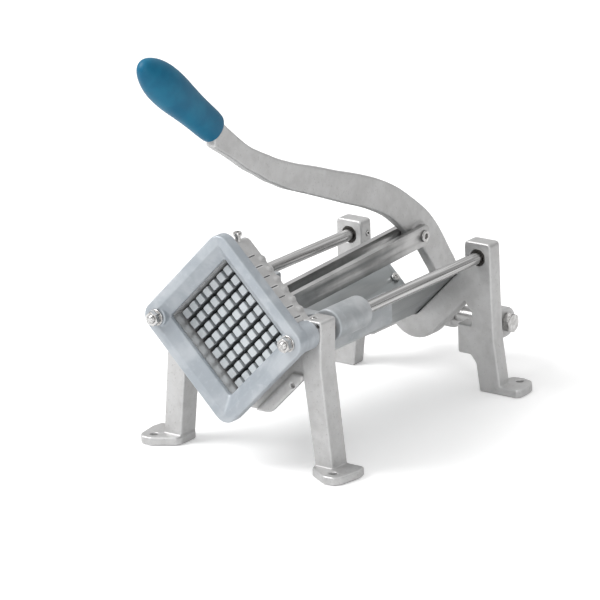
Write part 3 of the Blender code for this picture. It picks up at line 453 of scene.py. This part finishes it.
def hex_body(flats, height, bore=0.0, steps=72, cup=0.0):
    """Rings of a hexagon nut or bolt head with its corners turned off at both ends."""
    wide = six_sided(flats)
    flat_r = flats * 0.485

    def low(a):
        return (wide(a) - flat_r) * 0.55

    rings = [ring(flat_r, 0, steps), ring(wide, low, steps), ring(wide, lambda a: height - low(a), steps),
             ring(flat_r, height, steps)]
    if bore:
        lead = bore * 0.12
        rings = [ring(bore, lead, steps), ring(bore + lead, 0, steps)] + rings
        rings += [ring(bore + lead, height, steps), ring(bore, height - lead, steps)]
    elif cup:
        rings += [ring(flat_r * 0.80, height - cup * 0.2, steps), [(0, 0, height - cup * 0.5)]]
    return rings


def socket_screw(name, head_r, head_h, shank_r, shank_long, flats, deep):
    """A round-headed screw with a hexagon socket. Its head starts at height 0."""
    edge = head_h * 0.32
    rings = [[(0, 0, -shank_long)], ring(shank_r * 0.8, -shank_long),
             ring(shank_r, -shank_long + shank_r * 0.2)]
    if head_h > 0:
        rings += [ring(shank_r, 0), ring(head_r - edge * 0.3, 0), ring(head_r, edge * 0.3),
                  ring(head_r, head_h - edge), ring(head_r - edge * 0.3, head_h - edge * 0.3),
                  ring(head_r - edge, head_h)]
    else:
        rings += [ring(shank_r, -shank_r * 0.15), ring(shank_r * 0.85, 0)]
    lip = six_sided(flats)
    rings += [ring(lambda a: lip(a) * 1.10, head_h), ring(lip, head_h - flats * 0.05),
              ring(lip, head_h - deep), [(0, 0, head_h - deep * 1.15)]]
    return solid(name, rings)


def aimed(obj, origin, towards, roll=0.0):
    """Turns a lathe piece so that its axis runs from origin towards a point."""
    axis = Vector(towards).normalized()
    obj.data.transform(Matrix.Translation(origin) @ axis.to_track_quat("Z", "Y").to_matrix().to_4x4()
                       @ Matrix.Rotation(roll, 4, "Z"))
    return obj


def merged(name, *objs):
    """One piece from several finished meshes."""
    form = bmesh.new()
    for obj in objs:
        form.from_mesh(obj.data)
        bpy.data.objects.remove(obj)
    return from_form(name, form)


def array_tree():
    """Copies of an item in rows and columns, then moved and turned into place."""
    tree = bpy.data.node_groups.new("rows_and_columns", "GeometryNodeTree")
    face = tree.interface
    for label, kind in (("Item", "Object"), ("Columns", "Int"), ("Rows", "Int"), ("Column Pitch", "Float"),
                        ("Row Pitch", "Float"), ("Place", "Vector"), ("Turn", "Vector"),
                        ("Finish", "Material")):
        face.new_socket(label, in_out="INPUT", socket_type="NodeSocket" + kind)
    face.new_socket("Geometry", in_out="OUTPUT", socket_type="NodeSocketGeometry")
    new, link = tree.nodes.new, tree.links.new
    given, out = new("NodeGroupInput"), new("NodeGroupOutput")

    def line(count, pitch, axis):
        """Points on an axis, a pitch apart, with their middle on the origin."""
        row = new("GeometryNodeMeshLine")
        step, back = new("ShaderNodeCombineXYZ"), new("ShaderNodeCombineXYZ")
        less, half, start = new("ShaderNodeMath"), new("ShaderNodeMath"), new("ShaderNodeMath")
        less.operation, half.operation, start.operation = "SUBTRACT", "MULTIPLY", "MULTIPLY"
        less.inputs[1].default_value = 1.0
        half.inputs[1].default_value = -0.5
        link(given.outputs[count], less.inputs[0])
        link(less.outputs[0], half.inputs[0])
        link(half.outputs[0], start.inputs[0])
        link(given.outputs[pitch], start.inputs[1])
        link(given.outputs[pitch], step.inputs[axis])
        link(start.outputs[0], back.inputs[axis])
        link(given.outputs[count], row.inputs["Count"])
        link(step.outputs[0], row.inputs["Offset"])
        link(back.outputs[0], row.inputs["Start Location"])
        return row.outputs[0]

    columns, rows = line("Columns", "Column Pitch", "X"), line("Rows", "Row Pitch", "Z")
    grid, fill = new("GeometryNodeInstanceOnPoints"), new("GeometryNodeInstanceOnPoints")
    flat, real = new("GeometryNodeRealizeInstances"), new("GeometryNodeRealizeInstances")
    item, put, coat = (new("GeometryNodeObjectInfo"), new("GeometryNodeTransform"),
                       new("GeometryNodeSetMaterial"))
    link(columns, grid.inputs["Points"])
    link(rows, grid.inputs["Instance"])
    link(grid.outputs[0], flat.inputs[0])
    link(flat.outputs[0], fill.inputs["Points"])
    link(given.outputs["Item"], item.inputs["Object"])
    link(item.outputs["Geometry"], fill.inputs["Instance"])
    link(fill.outputs[0], put.inputs["Geometry"])
    link(given.outputs["Place"], put.inputs["Translation"])
    link(given.outputs["Turn"], put.inputs["Rotation"])
    link(put.outputs[0], real.inputs[0])
    link(real.outputs[0], coat.inputs["Geometry"])
    link(given.outputs["Finish"], coat.inputs["Material"])
    link(coat.outputs[0], out.inputs[0])
    return tree


ARRAY = array_tree()


def laid_out(name, item, material, place, turn, columns, column_pitch, rows=1):
    """A plain mesh of copies of the item, which is then removed. Rows are one cell apart."""
    host = add(name, bpy.data.meshes.new(name))
    step = host.modifiers.new("rows_and_columns", "NODES")
    step.node_group = ARRAY
    values = {"Item": item, "Columns": columns, "Rows": rows, "Column Pitch": column_pitch,
              "Row Pitch": CELL, "Place": place, "Turn": turn, "Finish": material}
    for socket in ARRAY.interface.items_tree:
        if socket.in_out == "INPUT":
            step[socket.identifier] = values[socket.name]
    settle(host)
    bpy.data.objects.remove(item)
    return host


def diamond(half, corner=0.0, flat_x=None, steps=6):
    """A square stood on one corner about the push axis, with rounded top and bottom."""
    reach = half * ROOT2
    if flat_x is None:
        points = [(reach, 0, corner), (0, reach, corner), (-reach, 0, corner), (0, -reach, corner)]
    else:
        drop, small = reach - flat_x, corner / 4
        points = [(flat_x, -drop, small), (flat_x, drop, small), (0, reach, corner),
                  (-flat_x, drop, small), (-flat_x, -drop, small), (0, -reach, corner)]
    outline = []
    for i, (x, z, r) in enumerate(points):
        here = Vector((x, z))
        last = (Vector(points[i - 1][:2]) - here).normalized()
        after = (Vector(points[(i + 1) % len(points)][:2]) - here).normalized()
        if r <= 0:
            outline.append((x, z))
            continue
        turn = last.angle(after)
        middle = here + (last + after).normalized() * r / sin(turn / 2)
        reach_r = r * cos(turn / 2) / sin(turn / 2)
        first, end = here + last * reach_r - middle, here + after * reach_r - middle
        a0 = atan2(first.y, first.x)
        sweep = (atan2(end.y, end.x) - a0 + pi) % (2 * pi) - pi
        angles = [a0 + sweep * k / steps for k in range(steps + 1)]
        outline += [(middle.x + r * cos(a), middle.y + r * sin(a)) for a in angles]
    return outline


def along_y(outline, y):
    """An outline about the push axis, as a ring at a depth."""
    return [(x, y, AXIS_Z + z) for x, z in outline]


def in_grid(across, up):
    """A point of the turned grid: across runs down and right, up runs up and right."""
    return Vector(((across + up) / ROOT2, 0, AXIS_Z + (up - across) / ROOT2))


def make_castings():
    """The four castings whose solids have the right form, with fillets worked in."""
    for node, voxel, passes, body, material in (("front_frame", 0.00095, 5, "frame", CAST),
                                                ("rear_frame", 0.00100, 5, "frame", CAST),
                                                ("lever", 0.00105, 6, "lever", CAST),
                                                ("front_plate", 0.00085, 5, "frame", COATED)):
        piece = from_form(node + "_cast", copy_of(node))
        dress(soften(piece, voxel, passes), material, body, node, sharp=None)


def make_cassette():
    """The square ring with a lobe over each cell, and the blades' slots cut through it."""
    outline = diamond(CASSETTE_HALF, CASSETTE_CORNER, CASSETTE_FLAT_X)
    ring_of = solid("cassette_ring", [along_y(outline, y) for y in (CASSETTE_FRONT, CASSETTE_BACK)])
    opening = solid("cassette_window", [along_y(diamond(OPENING_HALF), y)
                                        for y in (CASSETTE_FRONT - 0.004, CASSETTE_BACK + 0.004)])
    lobes = [ring_of]
    profile = [(0, 0), (RIB_R * 0.7, 0), (RIB_R, RIB_R * 0.4), (RIB_R, 0.0076), (0, 0.0076)]
    for k in range(1, CELLS - 1):
        s = CELL * (k - (CELLS - 1) / 2)
        for spot in (in_grid(s, CASSETTE_HALF - RIB_R / 2), in_grid(RIB_R / 2 - CASSETTE_HALF, s)):
            lobe = turned("lobe", profile, 24)
            lobes.append(aimed(lobe, (spot.x, RIB_FRONT, spot.z), (0, 1, 0)))
    body = merged("blade_cassette_cast", *lobes)
    soften(body, 0.0008, 4)
    cut(body, opening)
    section = ((-0.0006, -0.005), (0.0006, -0.005), (0.0006, 0.005), (-0.0006, 0.005))
    slot_front = solid("slot", [[(x, y, z) for x, y in section]
                                for z in (-CASSETTE_HALF - 0.006, CASSETTE_HALF + 0.006)])
    slot_rear = add("slot_rear", slot_front.data.copy())
    place_front = (0, FRONT_BLADE_Y + BLADE_DEEP / 2, AXIS_Z)
    place_rear = (0, REAR_BLADE_Y + BLADE_DEEP / 2, AXIS_Z)
    cut(body, laid_out("slots_front", slot_front, None, place_front, (0, radians(45), 0), CELLS - 1, CELL))
    cut(body, laid_out("slots_rear", slot_rear, None, place_rear, (0, radians(-45), 0), CELLS - 1, CELL))
    dress(body, CAST, "frame", "blade_cassette", sharp=40)


def make_blades():
    """Two crossing rows of blades, each with a ground front edge and eased back edge."""
    half = CASSETTE_HALF - BLADE_END_GAP
    for layer, front, turn in (("front", FRONT_BLADE_Y, 45), ("rear", REAR_BLADE_Y, -45)):
        t = BLADE_T / 2
        section = [(0, 0), (t, BLADE_EDGE), (t, BLADE_DEEP - t), (t * 0.6, BLADE_DEEP),
                   (-t * 0.6, BLADE_DEEP), (-t, BLADE_DEEP - t), (-t, BLADE_EDGE)]
        blade = solid("blade", [[(x, front + y, z) for x, y in section] for z in (-half, half)])
        row = laid_out(f"blades_{layer}", blade, BLADE, (0, 0, AXIS_Z), (0, radians(turn), 0), CELLS - 1,
                       CELL)
        dress(row, BLADE, "frame", *[f"blade_{layer}_{k}" for k in range(1, CELLS)], sharp=20)


def make_pusher():
    """The plate and slides from the solid without its pegs, then the pegs and the two bushings."""
    form = copy_of("pusher")
    everything = form.verts[:] + form.edges[:] + form.faces[:]
    found = bmesh.ops.bisect_plane(form, geom=everything, plane_co=(0, PEG_ROOT_Y, 0), plane_no=(0, -1, 0),
                                   clear_outer=True)
    rim = [e for e in found["geom_cut"] if isinstance(e, bmesh.types.BMEdge)]
    bmesh.ops.holes_fill(form, edges=rim)
    bmesh.ops.recalc_face_normals(form, faces=form.faces)
    back = from_form("pusher_back", form)
    dress(soften(back, 0.00095, 5), PUSHER, "pusher", "pusher", sharp=None)
    half, long = PEG_SIDE / 2, PEG_ROOT_Y - PEG_TIP_Y
    corners = ((-half, -half), (half, -half), (half, half), (-half, half))
    peg = solid("peg", [[(x * s, y, z * s) for x, z in corners]
                        for s, y in ((0.90, 0), (1.0, 0.0006), (1.0, long))])
    ease_edges(peg, 0.0007, 60)
    pegs = laid_out("pusher_pegs", peg, PUSHER, (0, PEG_TIP_Y, AXIS_Z), (0, radians(45), 0), CELLS, CELL,
                    CELLS)
    dress(pegs, PUSHER, "pusher", sharp=30)
    for side, s in SIDES:
        low, high = span("slide_bushing_" + side)
        a, b, r = low.y, high.y, (high.x - low.x) / 2
        bore, edge = ROD_R + 0.0003, 0.0006
        profile = [(bore, a + edge), (ROD_R + 0.0008, a), (r - edge, a), (r, a + edge), (r, b - edge),
                   (r - edge, b), (ROD_R + 0.0008, b), (bore, b - edge)]
        bush = turned("bushing_" + side, profile, closed_loop=True)
        aimed(bush, (s * ROD_X, 0, AXIS_Z), (0, 1, 0))
        dress(bush, BRONZE, "pusher", "slide_bushing_" + side)


def make_trough():
    trough = from_form("trough_sheet", copy_of("trough"))
    join_flat_faces(trough)
    dress(ease_edges(trough, 0.0004, 40), SHEET, "frame", "trough", sharp=30)


def join_flat_faces(obj):
    """Merges the triangles of each flat face back into one."""
    form = bmesh.new()
    form.from_mesh(obj.data)
    bmesh.ops.dissolve_limit(form, angle_limit=radians(1), verts=form.verts, edges=form.edges)
    form.to_mesh(obj.data)
    form.free()


def make_rods():
    """Guide rods with a threaded front stud, and a dark ring of painted shade in the clearance round their
    rear ends.
    """
    for side, s in SIDES:
        low, high = span("guide_rod_" + side)
        start, end = low.y, high.y
        edge = 0.0007
        profile = [(0, start), (STUD_R - 0.0010, start), (STUD_R - 0.0004, start + 0.0006)]
        profile += thread(STUD_R, start + 0.0006, start + STUD_THREAD_LONG)
        profile += [(STUD_R, start + 0.016), (STUD_R, ROD_SHOULDER_Y), (ROD_R - edge, ROD_SHOULDER_Y),
                    (ROD_R, ROD_SHOULDER_Y + edge), (ROD_R, end - edge), (ROD_R - edge, end), (0, end)]
        rod = aimed(turned("guide_rod_turned_" + side, profile), (s * ROD_X, 0, AXIS_Z), (0, 1, 0))
        dress(rod, ROD, "frame", "guide_rod_" + side, sharp=40)
        # Painted shade: a dark ring in the rear post's counterbore, where the clearance round the rod lies
        # in shadow.
        profile = [(ROD_R + 0.0004, 0.3286), (0.0086, 0.3286), (0.0088, 0.3290), (0.0088, 0.3335),
                   (ROD_R + 0.0004, 0.3335)]
        shade_ring = turned("rod_seat_" + side, profile, closed_loop=True)
        dress(aimed(shade_ring, (s * ROD_X, 0, AXIS_Z), (0, 1, 0)), BORE_SHADE, "frame")


def make_front_nuts():
    """A pair of nuts over a pair of washers, on the rods' studs."""
    pair_wide = 2 * ROD_X
    low, high = span("front_nut_near")
    nut = solid("nut", hex_body(NUT_FLATS, high.y - low.y, STUD_R + 0.0001), closed_loop=True)
    nut.data.transform(Matrix.Rotation(radians(90), 4, "X") @ Matrix.Rotation(radians(12), 4, "Z"))
    pair = laid_out("front_nuts", nut, PLATED, (0, high.y, AXIS_Z), (0, 0, 0), 2, pair_wide)
    dress(pair, PLATED, "frame", "front_nut_near", "front_nut_far", sharp=25)
    low, high = span("front_washer_near")
    t, r = high.y - low.y, (high.x - low.x) / 2
    profile = [(STUD_R + 0.0003, 0), (r - 0.0003, 0), (r, 0.0003), (r, t - 0.0003), (r - 0.0003, t),
               (STUD_R + 0.0003, t)]
    washer = turned("washer", profile, closed_loop=True)
    washer.data.transform(Matrix.Rotation(radians(90), 4, "X"))
    pair = laid_out("front_washers", washer, PLATED, (0, high.y, AXIS_Z), (0, 0, 0), 2, pair_wide)
    dress(pair, PLATED, "frame", "front_washer_near", "front_washer_far")


def make_pivot():
    """The lever's bolt and nut, and the two tubes that keep the lever in the middle."""
    low, high = span("pivot_bolt")
    middle = (0, (low.y + high.y) / 2, (low.z + high.z) / 2)
    face = span("pivot_nut")[1].x
    head = solid("bolt_head", hex_body(BOLT_FLATS, high.x - LUG_FACE_X, cup=0.0012))
    aimed(head, (LUG_FACE_X, *middle[1:]), (1, 0, 0), radians(8))
    end, shoulder = low.x, LUG_FACE_X + 0.0005
    profile = [(0, end), (0.0052, end), (0.0060, end + 0.0009)]
    profile += thread(BOLT_R, end + 0.0009, face + 0.004, 0.0018, 0.0009)
    profile += [(BOLT_R, face + 0.006), (BOLT_R, shoulder), (0, shoulder)]
    shank = aimed(turned("bolt_shank", profile), middle, (1, 0, 0))
    dress(merged("pivot_bolt_turned", head, shank), PLATED, "frame", "pivot_bolt", sharp=25)
    low_n, high_n = span("pivot_nut")
    nut = solid("pivot_nut_turned", hex_body(BOLT_FLATS, high_n.x - low_n.x, 0.0065), closed_loop=True)
    dress(aimed(nut, (low_n.x, *middle[1:]), (1, 0, 0), radians(20)), PLATED, "frame", "pivot_nut", sharp=25)
    for side, s in SIDES:
        a, b = (v.x for v in span("spacer_tube_" + side))
        profile = [(TUBE_BORE_R, a + 0.0004), (0.0070, a), (0.0082, a), (TUBE_R, a + 0.0004),
                   (TUBE_R, b - 0.0004), (0.0082, b), (0.0070, b), (TUBE_BORE_R, b - 0.0004)]
        tube = turned("spacer_" + side, profile, closed_loop=True)
        dress(aimed(tube, middle, (1, 0, 0)), BAR, "frame", "spacer_tube_" + side)


def make_links():
    """The two bars, their front screws, and the pin through the lever with a head at each end."""
    for side, s in SIDES:
        bar = from_form("link_bar_" + side, copy_of("link_" + side))
        join_flat_faces(bar)
        dress(ease_edges(bar, 0.0006, 40), BAR, "links", "link_" + side, sharp=30)
        low, high = span("link_screw_" + side)
        place = (0, (low.y + high.y) / 2, (low.z + high.z) / 2)
        inner, outer = sorted((abs(low.x), abs(high.x)))
        screw = socket_screw("link_end_screw_" + side, (high.z - low.z) / 2, LINK_HEAD_T, STUD_R,
                             outer - LINK_HEAD_T - inner, SOCKET_FLATS, SOCKET_DEEP)
        aimed(screw, (s * (outer - LINK_HEAD_T), *place[1:]), (s, 0, 0))
        dress(screw, PLATED, "links", "link_screw_" + side, sharp=30)
    low, high = span("link_pin")
    place = (0, (low.y + high.y) / 2, (low.z + high.z) / 2)
    heads = []
    for side, s in SIDES:
        base = high.x - LINK_HEAD_T
        head = socket_screw("pin_" + side, (high.z - low.z) / 2, LINK_HEAD_T, STUD_R, base - 0.0001,
                            SOCKET_FLATS, SOCKET_DEEP)
        heads.append(aimed(head, (s * base, *place[1:]), (s, 0, 0)))
    dress(merged("link_pin_turned", *heads), PLATED, "lever", "link_pin", sharp=30)


def make_small_screws():
    """Set screws over the rods, the trough's two screws and the cassette's one."""
    for side, s in SIDES:
        for kind, axis in (("front", (0, 0, 1)), ("rear", (-s, 0, 0))):
            node = f"{kind}_set_screw_{side}"
            low, high = span(node)
            centre = (low + high) / 2
            half = (high - low) / 2
            face = centre + Vector(axis) * abs(half.dot(Vector(axis)))
            screw = socket_screw(node + "_cut", 0, 0, SET_SCREW_R, SET_SCREW_LONG, 0.0030, 0.0024)
            dress(aimed(screw, face, axis), PLATED, "frame", node, sharp=30)
        node = "trough_screw_" + side
        slope = Vector((-s, 0, 1)).normalized()
        base = Vector((s * TROUGH_SCREW_X, TROUGH_SCREW_Y, AXIS_Z - OPENING_HALF * ROOT2 + TROUGH_SCREW_X))
        base += slope * 0.0003
        screw = socket_screw(node + "_cut", 0.0050, 0.0026, 0.0024, 0.0122, 0.0034, 0.0015)
        dress(aimed(screw, base, slope), PLATED, "frame", node, sharp=30)
    low, high = span("cassette_screw")
    centre = (low + high) / 2
    head_t = 0.0040
    screw = socket_screw("cassette_screw_cut", (high.x - low.x) / 2, head_t, 0.0030, 0.0080, 0.0036, 0.0020)
    aimed(screw, (centre.x, centre.y, high.z - head_t), (0, 0, 1))
    dress(screw, PLATED, "frame", "cassette_screw", sharp=30)


def make_grip():
    """The dipped grip: oval, fuller towards its end, with a rolled lip at its mouth."""
    along, up = Vector((0, *GRIP_AXIS)), Vector((0, GRIP_AXIS[1], -GRIP_AXIS[0]))
    start = Vector((0, *GRIP_MOUTH))
    sides = Vector((1, 0, 0))

    def oval(distance, high, wide, steps=48):
        angles = [2 * pi * k / steps for k in range(steps)]
        return [tuple(start + along * distance + up * high * sin(a) + sides * wide * cos(a)) for a in angles]

    rings = [oval(0.010, 0.0100, 0.0082), oval(0.0009, 0.0104, 0.0086), oval(0.0000, 0.0120, 0.0100)]
    stations = [(0.0006, 0.0142), (0.0022, 0.0155), (0.0050, 0.0160)] + GRIP_STATIONS[2:]
    rings += [oval(d, h, h * GRIP_WIDTH_SHARE) for d, h in stations]
    rings += [oval(0.1398, 0.0050, 0.0042), [tuple(start + along * 0.1408)]]
    grip = solid("grip_dipped", rings)
    smooth = grip.modifiers.new("round", "SUBSURF")
    smooth.levels = smooth.render_levels = 2
    dress(settle(grip), VINYL, "lever", "grip", sharp=None)


def make_studio():
    """White floor, white surroundings, a broad soft key lamp from the left and a weak fill."""
    floor = solid("floor", [[(-6, -6, z), (6, -6, z), (6, 6, z), (-6, 6, z)] for z in (-0.02, -0.0002)])
    f = Finish("white_floor")
    seen = f.node("ShaderNodeLightPath", output="Is Camera Ray")
    matt = f.node("ShaderNodeBsdfDiffuse", None, {"Color": (0.90, 0.90, 0.90, 1.0)})
    glow = f.node("ShaderNodeEmission", None, {"Color": (1.0, 1.0, 1.0, 1.0), "Strength": seen * 0.24})
    both = f.node("ShaderNodeAddShader", None, {0: matt, 1: glow})
    f.node("ShaderNodeOutputMaterial", None, {"Surface": both})
    floor.data.materials.append(f.material)

    world = bpy.data.worlds.new("studio")
    bpy.context.scene.world = world
    world.use_nodes = True
    w = Finish("studio", world.node_tree)
    spot = w.node("ShaderNodeTexCoord", output="Generated")
    up = w.node("ShaderNodeSeparateXYZ", None, {0: spot}, output="Z")
    across = w.node("ShaderNodeSeparateXYZ", None, {0: spot}, output="X")
    seen = w.node("ShaderNodeLightPath", output="Is Camera Ray")
    sky = w.step(up, -0.1, 0.9) * 0.45 + 0.50 - w.step(across, -0.2, 0.9) * 0.22
    level = seen + (1 - seen) * sky
    light = w.node("ShaderNodeBackground", None, {"Color": (1.0, 1.0, 1.0, 1.0), "Strength": level})
    w.node("ShaderNodeOutputWorld", None, {"Surface": light})

    for name, place, size, power in (("key", (-1.5, -1.45, 2.3), 1.5, 62.0),
                                     ("fill", (1.9, -2.35, 1.0), 1.6, 16.0)):
        lamp = bpy.data.lights.new(name, "AREA")
        lamp.size, lamp.energy = size, power
        obj = bpy.data.objects.new(name, lamp)
        bpy.context.scene.collection.objects.link(obj)
        obj.location = place
        obj.rotation_euler = (Vector((0, 0, 0.12)) - Vector(place)).to_track_quat("-Z", "Y").to_euler()


def make_camera():
    """The photograph's own view, found by fitting the grid, rods and feet."""
    ahead, right, down = (Vector((-0.57527, 0.75926, -0.30430)), Vector((0.80291, 0.59521, -0.03277)),
                          Vector((0.15624, -0.26318, -0.95202)))
    eye = Vector((0, -0.002, 0.34405)) - ahead * 4.4989 - right * 0.00496 + down * 0.19804
    camera = bpy.data.cameras.new("camera")
    focal_px, picture_px = 4493.6, 600
    camera.sensor_width, camera.lens = 36.0, 36.0 * focal_px / picture_px
    camera.clip_end = 60.0
    obj = bpy.data.objects.new("camera", camera)
    bpy.context.scene.collection.objects.link(obj)
    obj.matrix_world = Matrix([(right.x, -down.x, -ahead.x, eye.x), (right.y, -down.y, -ahead.y, eye.y),
                               (right.z, -down.z, -ahead.z, eye.z), (0, 0, 0, 1)])
    bpy.context.scene.camera = obj
    bpy.context.scene.view_settings.view_transform = "Standard"


make_camera()
make_studio()
make_castings()
make_cassette()
make_blades()
make_pusher()
make_trough()
make_rods()
make_front_nuts()
make_pivot()
make_links()
make_small_screws()
make_grip()
